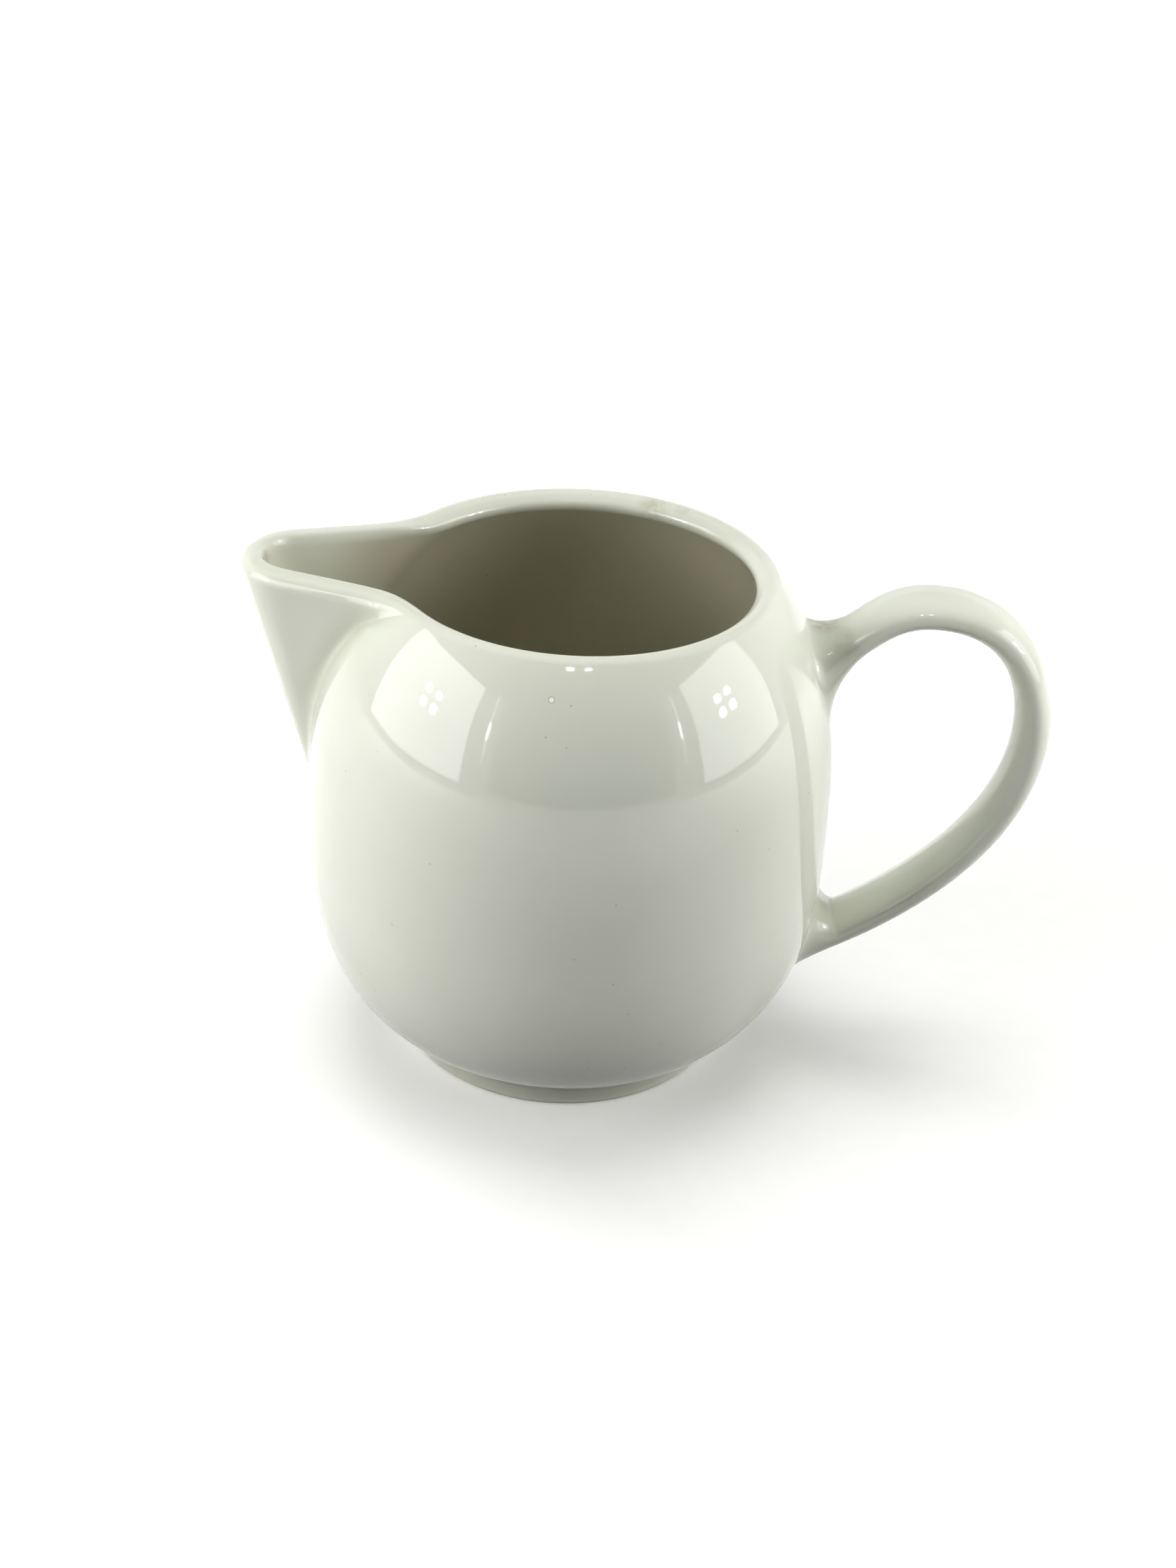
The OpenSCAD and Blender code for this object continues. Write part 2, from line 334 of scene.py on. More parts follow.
# Rows from the rim's edge down to the belly, on the outside (side = 1) or the inside (side = -1)
def upperRows(side):
    drift, edge = rimEdge(side)
    points, normals = [edge], [side * jugNormal(edge, side * halfWall)]
    for i in range(1, gridPlan["upperRows"] + 1):
        f = 1 - i / gridPlan["upperRows"]
        z = bellyZ + (edge[:, 2] - bellyZ) * f
        level = z * f + z.mean() * (1 - f)
        angles = ownColumns(level) if i < gridPlan["tiltedRows"] else columnGrid(z.mean())
        angles = angles + drift * smooth((f - 0.7) / 0.3)
        row = polar(angles, surfaceRadius(angles, z, side * halfWall), z)
        points.append(row)
        normals.append(side * jugNormal(row, side * halfWall))
    return points, normals


# Rows from the belly down to the foot, then over the flat of the base or the floor to the axis
def lowerRows(side):
    n = vessel["base"]
    angles = columnGrid(bellyZ)
    level = vessel["hollow"] if side > 0 else floorZ
    turns = np.linspace(0, math.pi / 2, 2000)
    r = vessel["radius"] * np.cos(turns) ** (2 / n)
    d = fall * np.sin(turns) ** (2 / n)
    across, down = (r / vessel["radius"]) ** (n - 1) / vessel["radius"], (d / fall) ** (n - 1) / fall
    slope = unit(np.stack([across, down], axis=1))
    if side < 0:
        r, d = r - 2 * halfWall * slope[:, 0], d - 2 * halfWall * slope[:, 1]
    z = bellyZ - d
    last = np.argmax(z < level)
    run = np.concatenate([[0], np.cumsum(np.hypot(np.diff(r[:last]), np.diff(z[:last])))])
    steps = np.linspace(0, run[-1], gridPlan["lowerRows"] + 1)[1:]
    points, normals = [], []
    for step in steps:
        radius, height = np.interp(step, run, r[:last]), np.interp(step, run, z[:last])
        out, down = np.interp(step, run, slope[:last, 0]), np.interp(step, run, slope[:last, 1])
        points.append(polar(angles, np.full(columns, radius), np.full(columns, height)))
        normals.append(side * unit(polar(angles, np.full(columns, out), np.full(columns, -down))))
    edgeRadius = np.interp(run[-1], run, r[:last])
    up = np.array([0, 0, -float(side)])
    if side < 0:
        normals[-1] = unit(normals[-1] + up)
    for i in range(1, gridPlan["discRows"] + 1):
        radius = edgeRadius * (1 - i / (gridPlan["discRows"] + 0.35))
        points.append(polar(angles, np.full(columns, radius), np.full(columns, level)))
        normals.append(np.tile(up, (columns, 1)))
    return points, normals


def wallGrid(side):
    upper, lower = upperRows(side), lowerRows(side)
    return np.array(upper[0] + lower[0]), np.array(upper[1] + lower[1])


outerPoints, outerNormals = wallGrid(1)
innerPoints, innerNormals = wallGrid(-1)
rows = len(outerPoints)
rimSteps, rimRound = [], []
for k in range(1, gridPlan["rimRows"]):
    turn = math.pi * k / gridPlan["rimRows"]
    n = 2.0 if turn < math.pi / 2 else gridPlan["rimSquare"]  # the lip is crisper on the inside
    points, normals = (outerPoints, outerNormals) if turn < math.pi / 2 else (innerPoints, innerNormals)
    across, upward = abs(math.cos(turn)), math.sin(turn)
    step = across ** (2 / n) * (points[0] - rimLine) + halfWall * upward ** (2 / n) * rimUp
    rimSteps.append(rimLine + step)
    rimRound.append(unit(across ** (2 - 2 / n) * normals[0] + upward ** (2 - 2 / n) * rimUp))
# where the wall leans out, at the spout's tip, the half round is pressed down to the rim's own height
over = np.maximum(np.max(rimSteps, axis=0)[:, 2] - vessel["top"], 0)
for k, step in enumerate(rimSteps, 1):
    step[:, 2] -= over * math.sin(math.pi * k / gridPlan["rimRows"])

gridPoints = np.concatenate([outerPoints.reshape(-1, 3), innerPoints.reshape(-1, 3)]
                            + rimSteps
                            + [[[0, 0, vessel["hollow"]], [0, 0, floorZ]]])
gridNormals = np.concatenate([outerNormals.reshape(-1, 3), innerNormals.reshape(-1, 3)] + rimRound
                             + [[[0, 0, -1], [0, 0, 1]]])
innerStart = rows * columns
rimStart = 2 * rows * columns
baseCentre = rimStart + len(rimRound) * columns


# How deep the glaze has pooled: in the spout's crease, above the foot and on the floor. Above the foot the
# darkening is partly pooled glaze and partly painted shade in the angle between foot and belly.
def pooledGlazeAndShade(points):
    x, y, z = points[:, 0], points[:, 1], points[:, 2]
    upper = np.maximum(z, bellyZ + 0.5)
    apart = wallDistance(np.hypot(x, y), upper) - beakDistance(x, y, upper)
    crease = np.exp(-((apart / 2.4) ** 2)) * (z > 44) * smooth((vessel["top"] - 0.6 - z) / 2.6)
    # the band just above the foot: pooled glaze, deepened as painted shade where the foot tucks under the
    # belly
    foot = np.exp(-(((z - 5.3) / 1.1) ** 2)) * (np.hypot(x, y) > 28)
    return np.clip(0.9 * crease + 0.8 * foot, 0, 1)


# How much painted shade each point takes: the inside of the wall is painted darker and warmer
gridInsideShade = np.zeros(len(gridPoints))
gridInsideShade[innerStart:rimStart] = 1
gridInsideShade *= smooth((vessel["top"] - 1.0 - gridPoints[:, 2]) / 1.5)
gridInsideShade[-1] = 1
# the spout's channel gets less of the painted shade and keeps more of the outside's white
gridInsideShade *= lerp(0.35, 1, smooth((gridPoints[:, 0] + 46) / 14))
gridPoolAndShade = pooledGlazeAndShade(gridPoints)


# A closed piece of the wall: its outside, its inside, its share of the rim and its cut edges
def wallPiece(name, kept):
    def outer(i, j):
        return i * columns + j % columns

    def inner(i, j):
        return innerStart + outer(i, j)

    def section(j):
        overRim = [rimStart + k * columns + j % columns for k in range(len(rimRound))]
        return [outer(0, j)] + overRim + [inner(0, j)]

    smoothFaces, cutFaces = [], []
    for i in range(rows - 1):
        for j in range(columns):
            if not kept[i, j]:
                continue
            quad = [(i, j), (i + 1, j), (i + 1, j + 1), (i, j + 1)]
            smoothFaces.append([outer(*at) for at in quad])
            smoothFaces.append([inner(*at) for at in quad])
            middle = gridPoints[[outer(*at) for at in quad]].mean(axis=0)
            if i == 0:
                here, there = section(j), section(j + 1)
                for k in range(len(here) - 1):
                    smoothFaces.append([here[k], there[k], there[k + 1], here[k + 1]])
            for step, edge in ((1, (j + 1)), (-1, j)):
                if not kept[i, (j + step) % columns]:
                    ends = [outer(i, edge), outer(i + 1, edge), inner(i + 1, edge), inner(i, edge)]
                    hint = gridPoints[ends[0]] - middle
                    cutFaces.append((ends, hint))
                    if i == 0:
                        cutFaces.append((section(edge), hint))
            if i + 1 < rows - 1 and not kept[i + 1, j]:
                ends = [outer(i + 1, j), outer(i + 1, j + 1), inner(i + 1, j + 1), inner(i + 1, j)]
                cutFaces.append((ends, gridPoints[ends[0]] - middle))
            if i > 0 and not kept[i - 1, j]:
                ends = [outer(i, j), outer(i, j + 1), inner(i, j + 1), inner(i, j)]
                cutFaces.append((ends, gridPoints[ends[0]] - middle))
    if kept[rows - 2].all():
        for j in range(columns):
            smoothFaces.append([outer(rows - 1, j), outer(rows - 1, j + 1), baseCentre])
            smoothFaces.append([inner(rows - 1, j), inner(rows - 1, j + 1), baseCentre + 1])
    return makePiece(name, gridPoints, gridNormals, smoothFaces, cutFaces,
                     {"inside": gridInsideShade, "poolAndShade": gridPoolAndShade})


rowHeights = outerPoints[:, 0, 2]
spoutFootRow = int(np.argmax(rowHeights < gridPlan["spoutFoot"]))
slipFootRow = int(np.argmax(rowHeights < gridPlan["slipFoot"]))
cell = np.arange(columns)
fromSpout = np.minimum(cell, columns - 1 - cell)
isSpout = np.zeros((rows - 1, columns), bool)
isSpout[:spoutFootRow] = fromSpout < spoutEdge
isSlip = np.zeros((rows - 1, columns), bool)
isSlip[:slipFootRow] = fromSpout < slipEdge
isSlip &= ~isSpout
print("wall worked out,", rows, "rows of", columns)

# ---- looks ----


# A screen colour such as #e8e6dc as the linear colour that the shader works in
def linearColour(code):
    parts = [int(code[i:i + 2], 16) / 255 for i in (1, 3, 5)]
    return tuple(p / 12.92 if p <= 0.04045 else ((p + 0.055) / 1.055) ** 2.4 for p in parts) + (1.0,)


def addNode(tree, kind, settings=None, links=None):
    node = tree.nodes.new(kind)
    for key, value in (settings or {}).items():
        if isinstance(key, int) or key in node.inputs:
            node.inputs[key].default_value = value
        else:
            setattr(node, key, value)
    for key, source in (links or {}).items():
        tree.links.new(source, node.inputs[key])
    return node


def addMix(tree, factor, first, second):
    node = addNode(tree, "ShaderNodeMix", {"data_type": "RGBA"})
    for socket, value in ((0, factor), (6, first), (7, second)):
        if hasattr(value, "is_linked"):
            tree.links.new(value, node.inputs[socket])
        else:
            node.inputs[socket].default_value = value
    return node.outputs[2]


def addRange(tree, source, fromLow, fromHigh, toLow, toHigh):
    return addNode(tree, "ShaderNodeMapRange",
                   {"From Min": fromLow, "From Max": fromHigh, "To Min": toLow, "To Max": toHigh},
                   {"Value": source}).outputs[0]


def addMath(tree, operation, first, second):
    node = addNode(tree, "ShaderNodeMath", {"operation": operation})
    for socket, value in ((0, first), (1, second)):
        if hasattr(value, "is_linked"):
            tree.links.new(value, node.inputs[socket])
        else:
            node.inputs[socket].default_value = value
    return node.outputs[0]


def addNoise(tree, position, scale, detail):
    settings = {"Scale": scale, "Detail": detail}
    return addNode(tree, "ShaderNodeTexNoise", settings, {"Vector": position}).outputs[0]


def addDistance(tree, position, centre):
    settings = {"operation": "DISTANCE", 1: centre}
    return addNode(tree, "ShaderNodeVectorMath", settings, {0: position}).outputs["Value"]


# Dots of about one size, one in some of the cells of a loose net
def addDots(tree, position, cellMm, radiusMm, share):
    net = addNode(tree, "ShaderNodeTexVoronoi", {"Scale": 1 / cellMm}, {"Vector": position})
    dot = addRange(tree, net.outputs["Distance"], radiusMm / cellMm, 0.6 * radiusMm / cellMm, 0, 1)
    chosen = addNode(tree, "ShaderNodeSeparateColor", links={"Color": net.outputs["Color"]}).outputs[0]
    chosen = addMath(tree, "LESS_THAN", chosen, share)
    return addMath(tree, "MULTIPLY", dot, chosen)


stains = [  # centre, reach in mm and strength: iron that has bled through where the glaze is thin
    ((11.5, 27.5, 89.0), 3.6, 0.30),
    ((17.0, 26.0, 89.0), 2.4, 0.22),
    ((40.6, 1.0, 80.8), 3.6, 0.5),
    ((45.0, -4.2, 80.0), 3.0, 0.28),
    ((61.5, -5.2, 42.0), 2.6, 0.6),
    ((-52.0, 0.5, 87.0), 2.2, 0.45),
]
pinholes = [  # centre, radius in mm and the strength of the white painted glint in its middle: bubbles that burst through the glaze
    ((-2.3, -36.2, 84.0), 0.62, 1.0),
    ((9.3, -40.2, 78.3), 0.34, 0.8),
    ((24.6, 25.6, 88.0), 0.40, 0.0),
    ((39.0, -13.0, 77.0), 0.30, 0.0),
]


def glazeMaterial(name, look):
    material = bpy.data.materials.new(name)
    material.use_nodes = True
    tree = material.node_tree
    tree.nodes.clear()
    output = addNode(tree, "ShaderNodeOutputMaterial")
    place = addNode(tree, "ShaderNodeTexCoord").outputs["Object"]
    toMm = addNode(tree, "ShaderNodeVectorMath", {"operation": "SCALE", "Scale": 1 / mm}, {0: place})
    position = toMm.outputs[0]
    cloud = addNoise(tree, position, 0.035, 3.0)
    fleck = addNoise(tree, position, 0.9, 4.0)
    cloudy = addRange(tree, cloud, 0.35, 0.65, 0, 1)
    colour = addMix(tree, cloudy, linearColour(look["pale"]), linearColour(look["deep"]))
    poolAndShade = addNode(tree, "ShaderNodeAttribute", {"attribute_name": "poolAndShade"}).outputs["Fac"]
    inside = addNode(tree, "ShaderNodeAttribute", {"attribute_name": "inside"}).outputs["Fac"]
    # pooled glaze darkens the colour, and above the foot this also paints shade
    thickGlazeAndShade = addMath(tree, "MULTIPLY", poolAndShade, look["poolingAndShade"])
    colour = addMix(tree, thickGlazeAndShade, colour, linearColour(look["pooledAndShaded"]))
    # painted shade: the inside of the jug takes a darker, warmer colour
    colour = addMix(tree, inside, colour, linearColour(look["paintedInsideShade"]))
    for centre, reach, strength in stains:
        away = addDistance(tree, position, centre)
        blot = addRange(tree, away, reach, 0.2 * reach, 0, strength)
        blot = addMath(tree, "MULTIPLY", blot, addRange(tree, fleck, 0.30, 0.66, 0.15, 1))
        colour = addMix(tree, blot, colour, linearColour(look["stain"]))
    specks = addDots(tree, position, 3.0, 0.16, 0.24)
    colour = addMix(tree, addMath(tree, "MULTIPLY", specks, 0.55), colour, linearColour(look["speck"]))
    holes, paintedGlint = 0.0, 0.0
    for centre, radius, glintStrength in pinholes:
        away = addDistance(tree, position, centre)
        holes = addMath(tree, "ADD", holes, addRange(tree, away, radius, 0.8 * radius, 0, 1))
        paintedGlint = addMath(tree, "ADD", paintedGlint, addRange(tree, away, 0.75 * radius, 0.6 * radius, 0, glintStrength))
    colour = addMix(tree, addMath(tree, "MULTIPLY", holes, 0.4), colour, linearColour(look["speck"]))
    # painted highlight: a white glint in the middle of the largest pits
    colour = addMix(tree, paintedGlint, colour, linearColour("#ffffff"))
    peel = addNoise(tree, position, 0.28, 2.0)
    relief = addMath(tree, "SUBTRACT", peel, addMath(tree, "MULTIPLY", holes, 2.5))
    depth = {"Strength": 0.35, "Distance": 0.03 * mm}
    bump = addNode(tree, "ShaderNodeBump", depth, {"Height": relief}).outputs[0]
    roughness = addRange(tree, cloud, 0.3, 0.7, look["roughness"], look["roughness"] * 1.6)
    shader = addNode(tree, "ShaderNodeBsdfPrincipled", {"IOR": 1.52},
                     {"Base Color": colour, "Roughness": roughness, "Normal": bump})
    tree.links.new(shader.outputs[0], output.inputs[0])
    return material, shader, colour


# White glaze fired over a pale body: glassy, a little green where it lies thick; painted shade makes it
# darker and warmer inside the jug and darker just above the foot
porcelain, _, _ = glazeMaterial("glazedPorcelain", {
    "pale": "#dde0d1", "deep": "#d8dbcb", "pooledAndShaded": "#b0b49c", "paintedInsideShade": "#bcb8a2", "stain": "#7a5a36",
    "speck": "#5d5341", "poolingAndShade": 0.55, "roughness": 0.035})

# The same glaze over the joints, thicker and slightly less bright
glazedSlip, _, _ = glazeMaterial("glazedSlip", {
    "pale": "#dbdecf", "deep": "#d5d8c8", "pooledAndShaded": "#b0b49c", "paintedInsideShade": "#bcb8a2", "stain": "#7a5a36",
    "speck": "#5d5341", "poolingAndShade": 0.6, "roughness": 0.045})

# The foot: glaze down its sides, painted darker as the shade the table casts there, wiped back to dry, sandy
# biscuit on the standing face
shadedBareFoot, footShader, shadedFootColour = glazeMaterial("shadedBiscuitFoot", {
    "pale": "#c3c6b5", "deep": "#bbbeac", "pooledAndShaded": "#8d907c", "paintedInsideShade": "#d9cbb0", "stain": "#7a5a36",
    "speck": "#5d5341", "poolingAndShade": 0.7, "roughness": 0.1})
tree = shadedBareFoot.node_tree
place = addNode(tree, "ShaderNodeTexCoord").outputs["Object"]
height = addNode(tree, "ShaderNodeSeparateXYZ", links={0: place}).outputs["Z"]
grain = addNoise(tree, place, 900.0, 4.0)
edge = addMath(tree, "ADD", height, addMath(tree, "MULTIPLY", grain, 0.0005))
bare = addRange(tree, edge, 0.0006, 0.0008, 1, 0)
biscuit = addMix(tree, grain, linearColour("#cdbd9e"), linearColour("#a8967a"))
tree.links.new(addMix(tree, bare, shadedFootColour, biscuit), footShader.inputs["Base Color"])
tree.links.new(addRange(tree, bare, 0, 1, 0.1, 0.85), footShader.inputs["Roughness"])
print("materials made")

# ---- the wall's three pieces ----

standFor(wallPiece("vesselWall", ~(isSpout | isSlip)), "body", porcelain)
standFor(wallPiece("beakSpout", isSpout), "spout", porcelain)
standFor(wallPiece("spoutSlip", isSlip), "spout_slip_joint", glazedSlip)


# ---- lofted pieces ----


# A closed piece through rings of points. `values` gives each ring's pooling, which on the foot is also
# painted shade.
def loftPiece(name, rings, normals, values, closeLoop=False):
    count = len(rings[0])
    points = np.concatenate(rings)
    smoothFaces, cutFaces = [], []
    last = len(rings) if closeLoop else len(rings) - 1
    for i in range(last):
        for j in range(count):
            a, b = i * count, (i + 1) % len(rings) * count
            smoothFaces.append([a + j, a + (j + 1) % count, b + (j + 1) % count, b + j])
    if not closeLoop:
        end = (len(rings) - 1) * count
        cutFaces = [(list(range(count)), rings[0].mean(axis=0) - rings[1].mean(axis=0)),
                    (list(range(end, end + count)), rings[-1].mean(axis=0) - rings[-2].mean(axis=0))]
    poolAndShade = np.concatenate([np.full(count, v) if np.isscalar(v) else v for v in values])
    return makePiece(name, points, np.concatenate(normals), smoothFaces, cutFaces,
                     {"poolAndShade": poolAndShade, "inside": np.zeros(len(points))})


# ---- foot ring ----

foot = {"outer": footHigh[0], "face": 3.4, "edge": 0.6, "columns": 144}


def footProfile():
    inner, outer, e = foot["outer"] - foot["face"], foot["outer"], foot["edge"]
    line = [(inner + 0.8, 3.3, -1.0, 0.0), (inner, 2.6, -1.0, 0.0), (inner, e, -1.0, 0.0)]
    for a in np.radians(np.linspace(0, 90, 7)[1:]):
        line.append((inner + e * (1 - math.cos(a)), e * (1 - math.sin(a)), -math.cos(a), -math.sin(a)))
    for a in np.radians(np.linspace(90, 0, 7)):
        line.append((outer - e * (1 - math.cos(a)), e * (1 - math.sin(a)), math.cos(a), -math.sin(a)))
    # the side leans out to a small hollow curve, where glaze fills the angle between foot and belly
    start, corner, end = (np.array([outer + out, z]) for out, z in ((1.0, 3.6), (1.25, 4.6), (2.6, 5.65)))
    lean = unit(corner - start)
    line.append((outer + 0.45, 1.9, lean[1], -lean[0]))
    for t in np.linspace(0, 1, 9):
        p = (1 - t) ** 2 * start + 2 * t * (1 - t) * corner + t * t * end
        d = unit((1 - t) * (corner - start) + t * (end - corner))
        line.append((p[0], p[1], d[1], -d[0]))
    line.append((outer + 1.2, 5.9, 0.3, 1.0))
    return line


footAngles = np.linspace(0, 2 * math.pi, foot["columns"], endpoint=False)
footRings, footNormals, footPoolAndShade = [], [], []
for r, z, outward, upward in footProfile():
    once = np.ones(foot["columns"])
    footRings.append(polar(footAngles, r * once, z * once))
    footNormals.append(unit(polar(footAngles, outward * once, upward * once)))
    # the top of the foot, in the angle under the belly: pooled glaze and painted shade
    footPoolAndShade.append(float(math.exp(-(((z - 4.9) / 1.1) ** 2))) if outward > 0 else 0.0)
footRing = loftPiece("footRing", footRings, footNormals, footPoolAndShade, closeLoop=True)
standFor(footRing, "foot_ring", shadedBareFoot)

# ---- handle ----

strap = {
    "width": 11.8,
    "thickness": 6.2,
    "sides": 56,
    "ringGap": 0.9,
    "upperEnd": 0.44,  # where the slip takes over, along the first and the last curve
    "lowerEnd": 0.85,
}
crest = np.array([vessel["radius"] + 13.6, handleHigh[2] - strap["thickness"] / 2])
bulge = np.array([handleHigh[0] - strap["thickness"] / 2, crest[1] - 22])
strapCurves = [
    np.array([(38.0, 74.5), (46.6, 77.4), crest - (9.9, 0), crest]),
    np.array([crest, crest + (13.0, 0), bulge + (0, 11.8), bulge]),
    np.array([bulge, bulge - (0, 21.0), (57.9, 26.8), (42.0, 19.0)]),
]


def curvePoint(curve, t):
    weights = np.array([(1 - t) ** 3, 3 * (1 - t) ** 2 * t, 3 * (1 - t) * t * t, t**3])
    return weights @ curve


def curveAlong(curve, t):
    weights = np.array([(1 - t) ** 2, 2 * (1 - t) * t, t * t])
    return unit(weights @ np.diff(curve, axis=0))


# An oval ring across the strap and its normals; turn 90 degrees is the strap's outer side
def strapRing(centre, along):
    turns = np.linspace(0, 2 * math.pi, strap["sides"], endpoint=False)
    a, b = strap["width"] / 2, strap["thickness"] / 2
    side, up = np.cos(turns), np.sin(turns)
    ring = np.stack([centre[0] - along[1] * b * up, a * side, centre[1] + along[0] * b * up], axis=1)
    normal = np.stack([-along[1] * up / b, side / a, along[0] * up / b], axis=1)
    return ring, unit(normal)


strapLine = []
for number, curve in enumerate(strapCurves):
    first = strap["upperEnd"] if number == 0 else 0.0
    last = strap["lowerEnd"] if number == 2 else 1.0
    trial = [curvePoint(curve, lerp(first, last, i / 50)) for i in range(51)]
    length = sum(np.linalg.norm(there - here) for here, there in zip(trial, trial[1:]))
    steps = int(length / strap["ringGap"])
    for i in range(steps + (number == 2)):
        t = lerp(first, last, i / steps)
        strapLine.append((curvePoint(curve, t), curveAlong(curve, t)))
handleRings = [strapRing(*at) for at in strapLine]
rings, normals = zip(*handleRings)
standFor(loftPiece("strapHandle", rings, normals, [0.0] * len(rings)), "handle", porcelain)

# ---- slip at the handle's two ends ----


# Outside radius and normal of the plain wall at any height, for the handle's side of the jug
def wallTable():
    away = halfCount
    line = outerPoints[:, away]
    normal = outerNormals[:, away]
    order = np.argsort(line[:, 2])
    return line[order, 2], line[order, 0], normal[order, 0], normal[order, 2]


tableZ, tableR, tableOut, tableUp = wallTable()


def onWall(y, z, depth=0.0):
    r = np.interp(z, tableZ, tableR)
    y = np.clip(y, -0.9 * r, 0.9 * r)
    x = np.sqrt(r * r - y * y)
    out, up = np.interp(z, tableZ, tableOut), np.interp(z, tableZ, tableUp)
    normal = unit(np.stack([out * x / r, out * y / r, up], axis=-1))
    return np.stack([x, y, z], axis=-1) - depth * normal, normal


# Slip that flows from the strap's end out over the wall and lies flush with both
def slipPiece(name, ringAt, towardsWall, look):
    start, startNormal = ringAt
    turns = np.linspace(0, 2 * math.pi, strap["sides"], endpoint=False)
    up = np.sin(turns) * look["upSide"]
    reach = np.where(up > 0, look["above"], look["below"])
    z = look["centre"] + reach * up
    y = look["across"] * np.cos(turns)
    end, endNormal = onWall(y, z)
    middle, _ = onWall(np.zeros(1), np.array([look["centre"]]))
    outward = end - middle
    outward = unit(outward - np.sum(outward * endNormal, axis=1, keepdims=True) * endNormal)
    span = np.linalg.norm(end - start, axis=1)[:, None]
    along = np.tile(towardsWall, (len(turns), 1))
    leave = lerp(look["leaveBelow"], look["leaveAbove"], smooth((up + 1) / 2))[:, None] * span
    arrive = lerp(look["arriveBelow"], look["arriveAbove"], smooth((up + 1) / 2))[:, None] * span
    rings, normals, poolAndShade = [], [], []
    steps = look["steps"]

    def at(t):
        return ((2 * t**3 - 3 * t**2 + 1) * start + (t**3 - 2 * t**2 + t) * leave * along
                + (3 * t**2 - 2 * t**3) * end + (t**3 - t**2) * arrive * outward)

    for i in range(steps + 1):
        t = i / steps
        ring = at(t)
        if i == 0:
            normal = startNormal
        elif i == steps:
            normal = endNormal
        else:
            forward = at(t + 0.01) - at(t - 0.01)
            around = np.roll(ring, -1, axis=0) - np.roll(ring, 1, axis=0)
            normal = unit(np.cross(around, forward))
            guide = lerp(startNormal, endNormal, t)
            normal = np.where(np.sum(normal * guide, axis=1, keepdims=True) < 0, -normal, normal)
        rings.append(ring)
        normals.append(normal)
        poolAndShade.append(float(look["poolAndShade"] * math.sin(math.pi * min(t * 1.1, 1)) ** 1.5))
    rings.append(end - 0.5 * endNormal + 0.1 * outward)
    normals.append(endNormal)
    poolAndShade.append(0.0)
    return loftPiece(name, rings, normals, poolAndShade)


upperSlip = {
    "centre": 74.0, "above": 8.2, "below": 10.5, "across": 9.6, "steps": 20, "poolAndShade": 0.55, "upSide": 1,
    "leaveAbove": 0.9, "leaveBelow": 0.8, "arriveAbove": 0.9, "arriveBelow": 1.1}
lowerSlip = {
    "centre": 20.5, "above": 10.0, "below": 10.5, "across": 8.6, "steps": 20, "poolAndShade": 0.5, "upSide": -1,
    "leaveAbove": 0.75, "leaveBelow": 1.0, "arriveAbove": 0.3, "arriveBelow": 0.7}

(firstX, firstZ), (lastX, lastZ) = strapLine[0][1], strapLine[-1][1]
standFor(slipPiece("upperHandleSlip", handleRings[0], np.array([-firstX, 0, -firstZ]), upperSlip),
         "upper_handle_slip_joint", glazedSlip)
standFor(slipPiece("lowerHandleSlip", handleRings[-1], np.array([lastX, 0, lastZ]), lowerSlip),
         "lower_handle_slip_joint", glazedSlip)

# ---- table, lights and camera ----

studio = {
    "tableHalf": 3.0,
    "tableColour": "#ededea",
    "glowCentre": (0.085, 0.01, 0),  # the paper glows, painted light that fades the jug's shadows, more so away from here
    "glowReach": (0.095, 0.20),
    "glowNear": 0.08,
    "glowFar": 0.75,
    "roomLight": 0.12,
    "underLight": 0.02,
    "exposure": 0.0,
}


def plainMesh(name, corners, faces):
    mesh = bpy.data.meshes.new(name)
    mesh.from_pydata(corners, [], faces)
    piece = bpy.data.objects.new(name, mesh)
    bpy.context.scene.collection.objects.link(piece)
    return piece


half = studio["tableHalf"]
tableCorners = [(-half, -half, 0), (half, -half, 0), (half, half, 0), (-half, half, 0)]
table = plainMesh("studioTable", tableCorners, [(0, 1, 2, 3)])
table.visible_diffuse = False  # the jug is lit by the lights alone, as on a cut-out sheet
table.visible_shadow = False
paper = bpy.data.materials.new("whitePaperSweep")
paper.use_nodes = True
tree = paper.node_tree
tree.nodes.clear()
paperOutput = addNode(tree, "ShaderNodeOutputMaterial")
place = addNode(tree, "ShaderNodeTexCoord").outputs["Object"]
tooth = addNoise(tree, place, 220.0, 3.0)
paperColour = addMix(tree, tooth, linearColour(studio["tableColour"]), linearColour("#f1f1ef"))
# painted light: the paper's glow grows away from the jug and washes out its shadows
away = addDistance(tree, place, studio["glowCentre"])
glow = addRange(tree, away, *studio["glowReach"], studio["glowNear"], studio["glowFar"])
paperShader = addNode(tree, "ShaderNodeBsdfPrincipled", {"Roughness": 0.9},
                      {"Base Color": paperColour, "Emission Color": paperColour, "Emission Strength": glow})
tree.links.new(paperShader.outputs[0], paperOutput.inputs[0])
table.data.materials.append(paper)

world = bpy.data.worlds.new("studioRoom")
world.use_nodes = True
sky = world.node_tree
place = addNode(sky, "ShaderNodeTexCoord").outputs["Generated"]
skyHeight = addNode(sky, "ShaderNodeSeparateXYZ", links={0: place}).outputs["Z"]
skyLight = addRange(sky, skyHeight, -0.15, 0.15, studio["underLight"], studio["roomLight"])
room = sky.nodes["Background"]
room.inputs["Color"].default_value = linearColour("#f2f3f4")
sky.links.new(skyLight, room.inputs["Strength"])
bpy.context.scene.world = world


def placeAt(bearing, distance, height):
    turn = math.radians(bearing)
    return Vector((distance * math.sin(turn), -distance * math.cos(turn), height))


